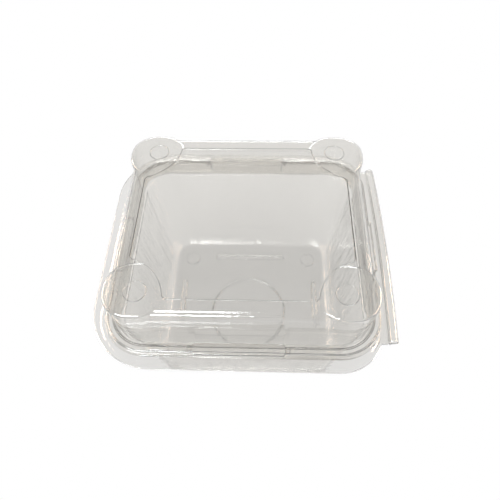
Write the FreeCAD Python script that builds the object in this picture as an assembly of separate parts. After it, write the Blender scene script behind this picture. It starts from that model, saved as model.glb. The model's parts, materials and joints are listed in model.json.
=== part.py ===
import FreeCAD, Part

import math
import os

from FreeCAD import Vector

# A clear plastic clamshell pack, formed from one sheet: a deep tub, a domed lid and a folding bead
# between them. Millimetres, +Z up, +X towards the hinge, origin under the middle of the tub's floor.

# The sheet
SHEET = 0.4                   # thickness of the formed sheet
CORNER_FLATS = 7              # flats that stand for the round of each corner
WIDE_FLATS = 32               # flats round a column or the ring
SPOT_FLATS = 20               # flats round a small spot
GAP = 0.3                     # clearance between the closed lid and the tub

# The mouth, the rounded rectangle from which every rim size is counted outwards
MOUTH_HALF_X = 71.7
MOUTH_HALF_Y = 63.0
MOUTH_CORNER = 17.5

# The tub
LEDGE_HEIGHT = 82.7           # top of the ledge inside the sealing ridge
TUB_TOP_INSET = 1.1           # the wall's outer face at the ledge, inside the mouth line
FLOOR_INSET_X = 12.7          # the floor's edge inside the mouth line, left and right
FLOOR_INSET_Y = 11.4          # the same, front and back
FLOOR_CORNER = 10.0
HEEL_RISE = 8.0               # bend between the floor and the walls
HEEL_SPREAD = 5.6             # how far that bend moves the wall out from the floor's edge
HEEL_CORNER = 15.0

# The sealing ridge on the tub, with distances out from the mouth line
RIDGE_RISE = 6.3              # above the ledge
RIDGE_INNER_FOOT = 2.2
RIDGE_INNER_TOP = 3.65
RIDGE_OUTER_TOP = 6.3
RIDGE_OUTER_FOOT = 6.5
RIDGE_ROUND = 0.5

# The flange round the tub
FLANGE_DROP = 3.1             # below the top of the ridge
FLANGE_SHELF = 3.9            # flat width beside the ridge
FLANGE_STEP_RUN = 1.6
FLANGE_STEP_DROP = 0.8
FLANGE_TAB = 4.7              # flat width beyond the step, on the opening side
FLANGE_EDGE = 3.5             # the same, front and back
FLANGE_CORNER = 38.0          # the two corners on the opening side
FLANGE_LIP = 1.2              # turned-down outer edge
HINGE_SHELF = 0.6             # the three widths beside the bead: shelf, step and edge
HINGE_STEP_RUN = 0.6
HINGE_EDGE = 0.6
HINGE_SIDE_CORNER = 26.0

# The hinge bead
BEAD_RADIUS = 2.8
BEAD_RISE = 1.4               # its middle above the flange beside the ridge
BEAD_END_INSET = 1.0          # its ends inside the mouth line
BEAD_FOOT_INSET = 1.4         # where the tub's strip meets the lower half, from the bead's middle
FOLD_SLIT = 0.3               # between the two halves at the fold
FOLD_CLEARANCE = 0.15         # from the bead's outermost line to the axis of the fold
WEB_RADIUS = 3.7              # hollow corner between the flange and the end of the bead

# The dome
DOME_RISE = 36.2              # flat border above the floor of the lid's groove
DOME_FOOT_INSET = 0.5         # the wall's foot inside the mouth line
DOME_DRAFT = 1.1              # how far the straight wall leans in by the shoulder
SHOULDER_DROP = 7.6           # where the rounded shoulder starts, below the border
SHOULDER_RUN = 3.2            # how far the shoulder comes in from the wall
DOME_CORNER = 14.0

# The four corner columns
COLUMN_INSET_X = 16.6         # a column's middle inside the mouth line
COLUMN_INSET_Y = 16.0
COLUMN_RADIUS = 17.2
COLUMN_ROUND = 2.2
PAD_RAISE = 0.7               # pads above the flat border
DIMPLE_SHIFT_X = -0.6         # from the column's middle, counted outwards
DIMPLE_SHIFT_Y = 1.1
DIMPLE_RADIUS = 5.7
DIMPLE_DEPTH = 0.5

# The sunk top panel, a rectangle with its corners cut away by arcs
PANEL_INSET = 11.2            # its straight edges inside the mouth line
PANEL_DEPTH = 1.2
PANEL_CORNER = 2.5
PANEL_ARC_SHIFT_X = 9.9       # an arc's middle from the column's, counted outwards
PANEL_ARC_SHIFT_Y = 6.0
PANEL_ARC_RADIUS = 25.0

# The cap that closes over the ridge, with distances out from the mouth line
CAP_INNER_FOOT = 1.5
CAP_INNER_TOP = 2.9
CAP_OUTER_TOP = 7.0
CAP_OUTER_FOOT = 7.3
CAP_BEVEL = 0.65
SKIRT_OUT = 8.7
SKIRT_DROP = 0.2

# The wide bars in the middle of each side of the cap
BAR_INNER = 1.3
BAR_OUTER = 8.4
BAR_HALF_FRONT = 27.0
BAR_HALF_SIDE = 19.3
BAR_CENTRE_X = -1.5
BAR_BEVEL = 2.4

# The two lock buttons on the cap
BUTTON_X = -45.5
BUTTON_LENGTH = 11.0
BUTTON_WIDTH = 3.2
BUTTON_RAISE = 0.9

# What is pressed up into the floor
RIB_WIDTH = 3.6
RIB_RISE = 1.5
BACK_RIB_INSET = 10.5         # from the floor's edge
BACK_RIB_LENGTH = 57.4
SIDE_RIB_INSET = 6.7
SIDE_RIB_LENGTH = 37.8
SPOT_INSET_X = 10.7
SPOT_INSET_Y = 11.9
SPOT_RADIUS = 6.0
SPOT_RISE = 0.5
RING_RADIUS = 32.0
RING_Y = -10.5
RING_WIDTH = 1.6
RING_RISE = 0.5

# Heights and places worked out from the sizes above
FLOOR_HALF_X = MOUTH_HALF_X - FLOOR_INSET_X
FLOOR_HALF_Y = MOUTH_HALF_Y - FLOOR_INSET_Y
SHELF_START_X = MOUTH_HALF_X + RIDGE_OUTER_FOOT
SHELF_START_Y = MOUTH_HALF_Y + RIDGE_OUTER_FOOT
FLANGE_HALF_X = SHELF_START_X + FLANGE_SHELF + FLANGE_STEP_RUN + FLANGE_TAB
FLANGE_HALF_Y = SHELF_START_Y + FLANGE_SHELF + FLANGE_STEP_RUN + FLANGE_EDGE
HINGE_SIDE_X = SHELF_START_X + HINGE_SHELF + HINGE_STEP_RUN + HINGE_EDGE
COLUMN_X = MOUTH_HALF_X - COLUMN_INSET_X
COLUMN_Y = MOUTH_HALF_Y - COLUMN_INSET_Y
DIMPLE_X = COLUMN_X + DIMPLE_SHIFT_X
DIMPLE_Y = COLUMN_Y + DIMPLE_SHIFT_Y
PANEL_HALF_X = MOUTH_HALF_X - PANEL_INSET
PANEL_HALF_Y = MOUTH_HALF_Y - PANEL_INSET
PANEL_ARC_X = COLUMN_X + PANEL_ARC_SHIFT_X
PANEL_ARC_Y = COLUMN_Y + PANEL_ARC_SHIFT_Y
BACK_RIB_Y = FLOOR_HALF_Y - BACK_RIB_INSET
SIDE_RIB_X = FLOOR_HALF_X - SIDE_RIB_INSET
SPOT_X = FLOOR_HALF_X - SPOT_INSET_X
SPOT_Y = FLOOR_HALF_Y - SPOT_INSET_Y
BEAD_HALF_LENGTH = MOUTH_HALF_Y - BEAD_END_INSET
RIDGE_TOP = LEDGE_HEIGHT + RIDGE_RISE
SHELF_HEIGHT = RIDGE_TOP - FLANGE_DROP
FLANGE_HEIGHT = SHELF_HEIGHT - FLANGE_STEP_DROP
CAP_TOP = RIDGE_TOP + GAP + SHEET
SKIRT_HEIGHT = SHELF_HEIGHT + GAP + SHEET
GROOVE_HEIGHT = LEDGE_HEIGHT + GAP + SHEET
BORDER_HEIGHT = GROOVE_HEIGHT + DOME_RISE
PAD_HEIGHT = BORDER_HEIGHT + PAD_RAISE
PANEL_HEIGHT = BORDER_HEIGHT - PANEL_DEPTH
BEAD_Z = SHELF_HEIGHT + BEAD_RISE
BEAD_X = FLANGE_HALF_X - BEAD_RADIUS
HINGE_X = FLANGE_HALF_X + FOLD_CLEARANCE
BEAD_SPAN = (-BEAD_HALF_LENGTH, BEAD_HALF_LENGTH)
THROUGH = 1.0                 # how far a cutting block runs past what it cuts
QUARTER_BEND = (0, 30, 60, 90)
BEAD_CUT_SPAN = (-BEAD_HALF_LENGTH - THROUGH, BEAD_HALF_LENGTH + THROUGH)


def turn(degrees):
    return Vector(math.cos(math.radians(degrees)), math.sin(math.radians(degrees)), 0)


def outline(left, right, half_y, corner_left, corner_right, z):
    """The corners of a level rounded rectangle, each round corner cut into the same number of flats."""
    corners = (
        (right - corner_right, half_y - corner_right, corner_right, 0),
        (left + corner_left, half_y - corner_left, corner_left, 90),
        (left + corner_left, corner_left - half_y, corner_left, 180),
        (right - corner_right, corner_right - half_y, corner_right, 270),
    )
    return [
        Vector(x, y, z) + radius * turn(start + 90 * step / CORNER_FLATS)
        for x, y, radius, start in corners
        for step in range(CORNER_FLATS + 1)
    ]


def rectangle(half_x, half_y, corner, z):
    return outline(-half_x, half_x, half_y, corner, corner, z)


def mouth(out, z):
    """The mouth line grown outwards by a distance."""
    return rectangle(MOUTH_HALF_X + out, MOUTH_HALF_Y + out, MOUTH_CORNER + out, z)


def flat_face(points):
    return Part.Face(Part.makePolygon(points + points[:1]))


def band(first, second):
    """The faces between two outlines, each one flat, because the outlines' edges run parallel."""
    pairs = zip(first, second, first[1:] + first[:1], second[1:] + second[:1])
    return [flat_face([a, c, d, b]) for a, b, c, d in pairs]


def solid_from(faces):
    shell = Part.makeShell(faces)
    shell.sewShape()
    solid = Part.Solid(Part.Shell(shell.Faces))
    if solid.Volume < 0:
        solid.reverse()
    return solid


def stack(outlines):
    """A closed solid through level outlines, one above another."""
    faces = [flat_face(outlines[0]), flat_face(outlines[-1])]
    for lower, upper in zip(outlines, outlines[1:]):
        faces += band(lower, upper)
    return solid_from(faces)


def ring(outlines):
    """A closed ring whose cross-section has one corner for each outline."""
    faces = []
    for first, second in zip(outlines, outlines[1:] + outlines[:1]):
        faces += band(first, second)
    return solid_from(faces)


def pill(centre, length, width, low, high, along_y=False):
    """An upright block with round ends."""
    radius = width / 2
    reach = length / 2 - radius
    edges = []
    for side in (1, -1):
        arc = [side * (Vector(reach, 0, 0) + radius * turn(degrees)) for degrees in (-90, 0, 90)]
        edges.append(Part.Arc(*arc).toShape())
        edges.append(Part.LineSegment(arc[2], Vector(-arc[2].x, arc[2].y, 0)).toShape())
    shape = Part.Face(Part.Wire(edges)).extrude(Vector(0, 0, high - low))
    if along_y:
        shape.rotate(Vector(0, 0, 0), Vector(0, 0, 1), 90)
    shape.translate(Vector(centre[0], centre[1], low))
    return shape


def prism(corners, low, high):
    """An upright block on a straight-sided outline."""
    face = flat_face([Vector(x, y, low) for x, y in corners])
    return face.extrude(Vector(0, 0, high - low))


def block(x_span, y_span, z_span):
    spans = (x_span, y_span, z_span)
    return Part.makeBox(*[high - low for low, high in spans], Vector(*[low for low, high in spans]))


def circle(x, y, radius, z, flats):
    return [Vector(x, y, z) + radius * turn(360 * (step + 0.5) / flats) for step in range(flats)]


def post(x, y, radius, low, high, flats=WIDE_FLATS):
    return stack([circle(x, y, radius, low, flats), circle(x, y, radius, high, flats)])


def tub_form(inset):
    """The filled tub, or its hollow when the inset is the sheet's thickness."""
    levels = []
    for degrees in QUARTER_BEND:
        out = HEEL_SPREAD * math.sin(math.radians(degrees)) - inset
        rise = HEEL_RISE * (1 - math.cos(math.radians(degrees)))
        corner = FLOOR_CORNER + (HEEL_CORNER - FLOOR_CORNER) * degrees / 90 - inset
        levels.append(rectangle(FLOOR_HALF_X + out, FLOOR_HALF_Y + out, corner, rise + inset))
    levels.append(mouth(-TUB_TOP_INSET - inset, LEDGE_HEIGHT + inset))
    return stack(levels)


def shelf_edge(fraction, z):
    """The step between the shelf beside the ridge and the lower flange: 0 is its top, 1 its foot."""
    out = RIDGE_OUTER_FOOT + FLANGE_SHELF + FLANGE_STEP_RUN * fraction
    right = SHELF_START_X + HINGE_SHELF + HINGE_STEP_RUN * fraction
    corner = MOUTH_CORNER + out
    return outline(-MOUTH_HALF_X - out, right, MOUTH_HALF_Y + out, corner, HINGE_SIDE_CORNER, z)


def rim_edge(inset, z):
    """The flange's outer edge, drawn in by a distance."""
    return outline(
        inset - FLANGE_HALF_X, HINGE_SIDE_X - inset, FLANGE_HALF_Y - inset,
        FLANGE_CORNER - inset, HINGE_SIDE_CORNER - inset, z)


def tub_rim():
    """The ledge, the sealing ridge and the stepped flange with its turned-down lip."""
    inner = -TUB_TOP_INSET - SHEET / 2
    half_round = RIDGE_ROUND + SHEET / 2
    lip_foot = FLANGE_HEIGHT - FLANGE_LIP
    upper = [
        mouth(inner, LEDGE_HEIGHT),
        mouth(RIDGE_INNER_FOOT, LEDGE_HEIGHT),
        mouth(RIDGE_INNER_TOP, RIDGE_TOP - RIDGE_ROUND),
        mouth(RIDGE_INNER_TOP + RIDGE_ROUND, RIDGE_TOP),
        mouth(RIDGE_OUTER_TOP - RIDGE_ROUND, RIDGE_TOP),
        mouth(RIDGE_OUTER_TOP, RIDGE_TOP - RIDGE_ROUND),
        mouth(RIDGE_OUTER_FOOT, SHELF_HEIGHT),
        shelf_edge(0, SHELF_HEIGHT),
        shelf_edge(1, FLANGE_HEIGHT),
        rim_edge(SHEET, FLANGE_HEIGHT),
        rim_edge(0, FLANGE_HEIGHT - SHEET),
        rim_edge(0, lip_foot),
    ]
    lower = [
        rim_edge(SHEET, lip_foot),
        rim_edge(SHEET, FLANGE_HEIGHT - SHEET),
        shelf_edge(1, FLANGE_HEIGHT - SHEET),
        shelf_edge(0, SHELF_HEIGHT - SHEET),
        mouth(RIDGE_OUTER_FOOT - SHEET, SHELF_HEIGHT - SHEET),
        mouth(RIDGE_OUTER_TOP - SHEET, RIDGE_TOP - half_round),
        mouth(RIDGE_OUTER_TOP - half_round, RIDGE_TOP - SHEET),
        mouth(RIDGE_INNER_TOP + half_round, RIDGE_TOP - SHEET),
        mouth(RIDGE_INNER_TOP + SHEET, RIDGE_TOP - half_round),
        mouth(RIDGE_INNER_FOOT + SHEET, LEDGE_HEIGHT - SHEET),
        mouth(inner, LEDGE_HEIGHT - SHEET),
    ]
    return ring(upper + lower)


def bead_tube(inset):
    """The whole round bead, or its hollow when the inset is the sheet's thickness."""
    length = 2 * (BEAD_HALF_LENGTH - inset)
    start = Vector(BEAD_X, inset - BEAD_HALF_LENGTH, BEAD_Z)
    return Part.makeCylinder(BEAD_RADIUS - inset, length, start, Vector(0, 1, 0))


def hinge_strip(height, edge, outer):
    """A flat strip along the hinge side, from an outline on the rim to a line along the bead."""
    low = height - SHEET
    strip = block((0, outer), BEAD_SPAN, (low, height))
    return strip.cut(stack([edge(low - THROUGH), edge(height + THROUGH)]))


def corner_web(side):
    """The hollow corner where the flange runs out to an end of the bead."""
    centre = (HINGE_SIDE_X + WEB_RADIUS / 2, side * (BEAD_HALF_LENGTH + WEB_RADIUS))
    span = (FLANGE_HEIGHT - SHEET, FLANGE_HEIGHT)
    reach = sorted((side * (BEAD_HALF_LENGTH - SHEET), centre[1]))
    corner = block((HINGE_SIDE_X - WEB_RADIUS, centre[0]), reach, span)
    return corner.cut(post(*centre, WEB_RADIUS, span[0] - THROUGH, span[1] + THROUGH))


def tub_hinge():
    """The tub's share of the hinge: a strip, the lower half of the bead, and two corner webs."""
    foot = BEAD_X - BEAD_FOOT_INSET
    below_fold = block(
        (foot - SHEET, HINGE_X), BEAD_CUT_SPAN,
        (BEAD_Z - BEAD_RADIUS - THROUGH, BEAD_Z - FOLD_SLIT / 2))
    lower_half = bead_tube(0).cut(bead_tube(SHEET)).common(below_fold)
    strip = hinge_strip(FLANGE_HEIGHT, lambda z: rim_edge(SHEET, z), foot)
    return [lower_half, strip, corner_web(-1), corner_web(1)]


def floor_pressings(inset):
    """What is pressed up into the floor, or the hollows under it when the inset is the sheet's thickness."""
    low = -THROUGH if inset else 0
    lift = SHEET - inset
    width = RIB_WIDTH - 2 * inset
    across = BACK_RIB_LENGTH - 2 * inset
    along = SIDE_RIB_LENGTH - 2 * inset
    rib_top = RIB_RISE + lift
    ring_top = RING_RISE + lift
    forms = [pill((0, side * BACK_RIB_Y), across, width, low, rib_top) for side in (-1, 1)]
    forms += [pill((side * SIDE_RIB_X, 0), along, width, low, rib_top, True) for side in (-1, 1)]
    forms += [
        post(x, y, SPOT_RADIUS - inset, low, SPOT_RISE + lift, SPOT_FLATS)
        for x in (-SPOT_X, SPOT_X) for y in (-SPOT_Y, SPOT_Y)
    ]
    outer = post(0, RING_Y, RING_RADIUS - inset, low, ring_top)
    inner = post(0, RING_Y, RING_RADIUS - RING_WIDTH + inset, low - THROUGH, ring_top + THROUGH)
    return forms + [outer.cut(inner)]


def base_tub():
    """The tub with its rim and its half of the hinge, hollowed, with the floor pressed up in places."""
    filled = tub_form(0).fuse([tub_rim()] + tub_hinge())
    lip = block(
        (HINGE_SIDE_X - WEB_RADIUS, HINGE_SIDE_X + THROUGH), BEAD_SPAN,
        (FLANGE_HEIGHT - FLANGE_LIP - THROUGH, FLANGE_HEIGHT - SHEET))
    hollowed = filled.cut([tub_form(SHEET), lip])
    return hollowed.fuse(floor_pressings(0)).cut(floor_pressings(SHEET)).removeSplitter()


def dome_wall(inset, foot):
    """The dome without its columns, up to the flat border."""
    half_x = MOUTH_HALF_X - DOME_FOOT_INSET - inset
    half_y = MOUTH_HALF_Y - DOME_FOOT_INSET - inset
    corner = DOME_CORNER - inset
    levels = [rectangle(half_x, half_y, corner, foot)]
    for degrees in QUARTER_BEND:
        lean = DOME_DRAFT + SHOULDER_RUN * (1 - math.cos(math.radians(degrees)))
        z = BORDER_HEIGHT - inset - SHOULDER_DROP * (1 - math.sin(math.radians(degrees)))
        levels.append(rectangle(half_x - lean, half_y - lean, corner, z))
    return stack(levels)


def column(side_x, side_y, inset, foot):
    """One corner column with its softened top edge."""
    radius = COLUMN_RADIUS - inset
    top = PAD_HEIGHT - inset
    bend = COLUMN_ROUND - inset
    bevel = bend * (1 - turn(45).x)
    levels = ((radius, foot), (radius, top - bend), (radius - bevel, top - bevel), (radius - bend, top))
    place = (side_x * COLUMN_X, side_y * COLUMN_Y)
    return stack([circle(*place, level_radius, z, WIDE_FLATS) for level_radius, z in levels])


def panel_outline(inset, z):
    """The sunk panel's edge: a rectangle whose corners are arcs that bulge into it, with softened tips."""
    half_x = PANEL_HALF_X + inset
    half_y = PANEL_HALF_Y + inset
    radius = PANEL_ARC_RADIUS - inset
    tip = PANEL_CORNER
    across = PANEL_ARC_X - half_x
    along = PANEL_ARC_Y - half_y
    first = math.degrees(math.asin(across / radius)) + math.degrees(tip / radius)
    last = 90 - math.degrees(math.asin(along / radius)) - math.degrees(tip / radius)
    quarter = [(half_x, PANEL_ARC_Y - math.sqrt(radius**2 - across**2) - tip)]
    for step in range(CORNER_FLATS + 1):
        angle = math.radians(first + (last - first) * step / CORNER_FLATS)
        quarter.append((PANEL_ARC_X - radius * math.sin(angle), PANEL_ARC_Y - radius * math.cos(angle)))
    quarter.append((PANEL_ARC_X - math.sqrt(radius**2 - along**2) - tip, half_y))
    backwards = quarter[::-1]
    points = quarter + [(-x, y) for x, y in backwards]
    points += [(-x, -y) for x, y in quarter] + [(x, -y) for x, y in backwards]
    return [Vector(x, y, z) for x, y in points]


def panel_block(inset):
    """What is taken out above the sunk panel."""
    return stack([panel_outline(inset, PANEL_HEIGHT - inset), panel_outline(inset, PAD_HEIGHT + THROUGH)])


def dome_form(inset, foot):
    """The filled dome, or its hollow when the inset is the sheet's thickness."""
    sides = [(x, y) for x in (-1, 1) for y in (-1, 1)]
    shape = dome_wall(inset, foot).fuse([column(x, y, inset, foot) for x, y in sides])
    low = PAD_HEIGHT - DIMPLE_DEPTH - inset
    high = PAD_HEIGHT + THROUGH
    radius = DIMPLE_RADIUS + inset
    dimples = [post(x * DIMPLE_X, y * DIMPLE_Y, radius, low, high, SPOT_FLATS) for x, y in sides]
    return shape.cut([panel_block(inset)] + dimples)


def cap_underside():
    """The corners of the cap's underside, from the foot of its inner wall to the foot of its outer wall."""
    half_bevel = CAP_BEVEL + SHEET / 2
    return [
        mouth(CAP_INNER_FOOT + SHEET, GROOVE_HEIGHT - SHEET),
        mouth(CAP_INNER_TOP + SHEET, CAP_TOP - half_bevel),
        mouth(CAP_INNER_TOP + half_bevel, CAP_TOP - SHEET),
        mouth(CAP_OUTER_TOP - half_bevel, CAP_TOP - SHEET),
        mouth(CAP_OUTER_TOP - SHEET, CAP_TOP - half_bevel),
        mouth(CAP_OUTER_FOOT - SHEET, SKIRT_HEIGHT - SHEET),
    ]


def cap_hollow():
    """The space under the cap, into which the tub's ridge rises."""
    low = GROOVE_HEIGHT - SHEET - THROUGH
    foot = [mouth(CAP_OUTER_FOOT - SHEET, low), mouth(CAP_INNER_FOOT + SHEET, low)]
    return ring(cap_underside() + foot)


def lid_rim():
    """The groove floor, the cap over the tub's ridge and the small skirt at its foot."""
    inner = -DOME_FOOT_INSET - SHEET / 2
    skirt_end = SKIRT_HEIGHT - SKIRT_DROP
    upper = [
        mouth(inner, GROOVE_HEIGHT),
        mouth(CAP_INNER_FOOT, GROOVE_HEIGHT),
        mouth(CAP_INNER_TOP, CAP_TOP - CAP_BEVEL),
        mouth(CAP_INNER_TOP + CAP_BEVEL, CAP_TOP),
        mouth(CAP_OUTER_TOP - CAP_BEVEL, CAP_TOP),
        mouth(CAP_OUTER_TOP, CAP_TOP - CAP_BEVEL),
        mouth(CAP_OUTER_FOOT, SKIRT_HEIGHT),
        mouth(SKIRT_OUT, skirt_end),
    ]
    skirt_underside = mouth(SKIRT_OUT, skirt_end - SHEET)
    groove_underside = mouth(inner, GROOVE_HEIGHT - SHEET)
    return ring(upper + [skirt_underside] + cap_underside()[::-1] + [groove_underside])


def bar_plan(half_length, inner, outer, inset):
    """Two halves of a long six-sided bar, as distances along a side and out from the mouth line."""
    middle = (BAR_INNER + BAR_OUTER) / 2
    tip = half_length - inset
    edge = tip - BAR_BEVEL
    towards_dome = [(-edge, inner + inset), (edge, inner + inset), (tip, middle), (-tip, middle)]
    away = [(-tip, middle), (tip, middle), (edge, outer - inset), (-edge, outer - inset)]
    return towards_dome, away


def bar_sides():
    """For each side of the cap: half the bar's length, and how its plan turns into X and Y."""
    return (
        (BAR_HALF_FRONT, lambda along, out: (BAR_CENTRE_X - along, MOUTH_HALF_Y + out)),
        (BAR_HALF_FRONT, lambda along, out: (BAR_CENTRE_X + along, -MOUTH_HALF_Y - out)),
        (BAR_HALF_SIDE, lambda along, out: (MOUTH_HALF_X + out, along)),
        (BAR_HALF_SIDE, lambda along, out: (-MOUTH_HALF_X - out, -along)),
    )


def bars(inset):
    """The four filled bars, or their hollows when the inset is the sheet's thickness."""
    shapes = []
    top = CAP_TOP - inset
    open_below = THROUGH if inset else 0
    for half_length, place in bar_sides():
        towards_dome, away = bar_plan(half_length, BAR_INNER, BAR_OUTER, inset)
        groove_foot = GROOVE_HEIGHT - SHEET - open_below
        skirt_foot = SKIRT_HEIGHT - SKIRT_DROP - SHEET - open_below
        shapes.append(prism([place(*point) for point in towards_dome], groove_foot, top))
        shapes.append(prism([place(*point) for point in away], skirt_foot, top))
    return shapes


def buttons(inset):
    """The two filled lock buttons, or their hollows."""
    out = (CAP_INNER_TOP + CAP_OUTER_TOP) / 2
    low = CAP_TOP - SHEET - (THROUGH if inset else 0)
    high = CAP_TOP + BUTTON_RAISE - inset
    length = BUTTON_LENGTH - 2 * inset
    width = BUTTON_WIDTH - 2 * inset
    return [pill((BUTTON_X, side * (MOUTH_HALF_Y + out)), length, width, low, high) for side in (-1, 1)]


def lid_hinge():
    """The lid's share of the hinge: a strip, its short upright and the upper half of the bead."""
    above_fold = block(
        (BEAD_X - BEAD_RADIUS - THROUGH, HINGE_X), BEAD_CUT_SPAN,
        (BEAD_Z + FOLD_SLIT / 2, BEAD_Z + BEAD_RADIUS + THROUGH))
    upper_half = bead_tube(0).cut(bead_tube(SHEET)).common(above_fold)
    inner_face = BEAD_X - BEAD_RADIUS
    height = SKIRT_HEIGHT - SKIRT_DROP
    upright = block((inner_face, inner_face + SHEET), BEAD_SPAN, (height - SHEET, BEAD_Z + FOLD_SLIT))
    strip = hinge_strip(height, lambda z: mouth(CAP_OUTER_FOOT - SHEET / 2, z), inner_face + SHEET)
    return [upper_half, upright, strip]


def domed_lid():
    """The dome with its cap, bars, buttons and its half of the hinge, hollowed."""
    dome = dome_form(0, GROOVE_HEIGHT - SHEET)
    filled = dome.fuse([lid_rim()] + bars(0) + buttons(0) + lid_hinge())
    hollows = [dome_form(SHEET, GROOVE_HEIGHT - SHEET - THROUGH), cap_hollow()]
    return filled.cut(hollows + bars(SHEET) + buttons(SHEET)).removeSplitter()


os.makedirs("parts", exist_ok=True)
for name, make in (("base_tub", base_tub), ("domed_lid", domed_lid)):
    shape = make()
    shape.exportStep(f"parts/{name}.step")
    print(name, len(shape.Solids), "solid", round(shape.Volume), "cubic mm", shape.BoundBox)
print("hinge axis at x", round(HINGE_X, 3), "z", round(BEAD_Z, 3))
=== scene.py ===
# %% [markdown]
# # A clear clamshell pack
# The pack is one sheet of clear plastic, formed hot over a mould: a deep tub, a domed lid and a round
# bead between them that bends as the hinge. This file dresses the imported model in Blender. Each half is
# modelled the way it is made: first the mould as a solid block, then the thin sheet that lies over it.

# %% Load the fixed frame
import json
import math

import bmesh
import bpy
from mathutils import Matrix, Vector

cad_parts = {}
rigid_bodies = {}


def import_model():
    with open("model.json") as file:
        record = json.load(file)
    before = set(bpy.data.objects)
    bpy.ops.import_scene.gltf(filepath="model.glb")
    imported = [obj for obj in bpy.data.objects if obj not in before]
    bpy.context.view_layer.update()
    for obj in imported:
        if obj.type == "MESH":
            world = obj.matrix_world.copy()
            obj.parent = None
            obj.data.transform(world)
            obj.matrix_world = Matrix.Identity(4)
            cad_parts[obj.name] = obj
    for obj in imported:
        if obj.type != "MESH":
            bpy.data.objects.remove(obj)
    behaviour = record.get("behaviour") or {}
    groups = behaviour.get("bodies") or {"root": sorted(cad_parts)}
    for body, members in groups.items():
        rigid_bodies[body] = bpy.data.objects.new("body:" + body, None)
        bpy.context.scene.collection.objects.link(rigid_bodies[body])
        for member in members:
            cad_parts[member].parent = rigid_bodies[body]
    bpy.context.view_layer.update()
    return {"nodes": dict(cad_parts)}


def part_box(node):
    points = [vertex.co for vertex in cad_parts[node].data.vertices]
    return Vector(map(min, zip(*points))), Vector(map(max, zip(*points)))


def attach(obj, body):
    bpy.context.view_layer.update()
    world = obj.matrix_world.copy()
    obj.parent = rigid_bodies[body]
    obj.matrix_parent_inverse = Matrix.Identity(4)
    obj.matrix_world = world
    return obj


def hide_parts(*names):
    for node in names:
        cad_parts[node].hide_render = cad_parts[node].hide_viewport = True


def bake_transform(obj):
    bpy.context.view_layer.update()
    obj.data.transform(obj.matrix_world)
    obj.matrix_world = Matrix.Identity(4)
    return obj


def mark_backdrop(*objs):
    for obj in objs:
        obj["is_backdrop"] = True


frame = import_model()

# %% [markdown]
# ## Sizes
# A formed pack is drawn from its mouth: every width of the rim is counted outwards from that line, and
# every height from the table. The values are millimetres, and a finished piece is scaled to metres once,
# at the end. The overall heights come from the frame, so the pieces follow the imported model.

# %% Sizes of the pack in millimetres
MM = 0.001
tub_low, tub_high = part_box("base_tub")
lid_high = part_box("domed_lid")[1]
SHEET = 0.4
MOUTH_X, MOUTH_Y, MOUTH_CORNER = 71.7, 63.0, 17.5
RIDGE_TOP = tub_high.z / MM
LEDGE = RIDGE_TOP - 6.3
SHELF = RIDGE_TOP - 3.1
FLANGE = SHELF - 0.8
CAP_TOP = RIDGE_TOP + 0.7
SKIRT = SHELF + 0.5
GROOVE = LEDGE + 0.7
PAD_TOP = lid_high.z / MM
BORDER = PAD_TOP - 0.7
PANEL = BORDER - 1.2
FLANGE_X = -tub_low.x / MM
FLANGE_Y = tub_high.y / MM
print("ridge", round(RIDGE_TOP, 2), "cap", round(CAP_TOP, 2), "pads", round(PAD_TOP, 2))

# %% [markdown]
# The bead runs along the right-hand side. On the real pack it is bent a little along its length: its ends
# lie further in than its middle. A share of that bend is kept here as a bow, and it stays small, because
# the lid turns about a straight line. The upper and the lower half meet at a narrow slit.

# %% Sizes of the bead in millimetres
HINGE_SIDE_X = 80.0
BEAD_RADIUS = 2.79
BEAD_X = tub_high.x / MM - BEAD_RADIUS
BEAD_Z = SHELF + 1.4
BEAD_HALF = 62.0
HALF_SLIT = 0.15
BOW = 1.6
BOW_FROM = 80.4
BOW_EASE = 3.0
print("bead at x", round(BEAD_X, 2), "and z", round(BEAD_Z, 2))

# %% [markdown]
# ## Outlines and blocks
# Every section of the pack is a rounded rectangle, so one helper gives its points, always the same number
# of them. Where three sections meet at a bend, the middle one is replaced by a few that round the bend
# off. A block starts as one face, and that face is extruded from section to section. This gives clean
# strips of faces all round. bridge_loops could join the sections too, but it chooses by itself which
# points belong together, and on sections this alike it can turn one against the next.

# %% Rounded outlines
CORNER_STEPS = 14


def outline(left, right, half_y, corner_left, corner_right, z):
    """A rounded rectangle whose left and right corners can differ."""
    corners = (
        (right - corner_right, half_y - corner_right, corner_right, 0),
        (left + corner_left, half_y - corner_left, corner_left, 90),
        (left + corner_left, corner_left - half_y, corner_left, 180),
        (right - corner_right, corner_right - half_y, corner_right, 270),
    )
    points = []
    for x, y, radius, start in corners:
        for step in range(CORNER_STEPS + 1):
            angle = math.radians(start + 90 * step / CORNER_STEPS)
            points.append(Vector((x + radius * math.cos(angle), y + radius * math.sin(angle), z)))
    return points


def rectangle(half_x, half_y, corner, z):
    """A rounded rectangle about the pack's middle."""
    return outline(-half_x, half_x, half_y, corner, corner, z)


def mouth(out, z):
    """The mouth line grown outwards by a distance."""
    return rectangle(MOUTH_X + out, MOUTH_Y + out, MOUTH_CORNER + out, z)


print("an outline has", len(mouth(0, 0)), "points")


# %% Rounded bends
SHARP = 0


def round_bends(sections, steps=4):
    """Sections with a radius each; a bend that isn't sharp is rounded off along a curve."""
    loops = []
    for place, (points, radius) in enumerate(sections):
        if radius == SHARP:
            loops.append(points)
            continue
        before = sections[place - 1][0]
        after = sections[place + 1][0]
        for step in range(steps + 1):
            t = step / steps
            loop = []
            for a, b, c in zip(before, points, after):
                start = b + (a - b).normalized() * radius
                end = b + (c - b).normalized() * radius
                loop.append(start.lerp(b, t).lerp(b.lerp(end, t), t))
            loops.append(loop)
    return loops


print("bends can be rounded")


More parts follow.
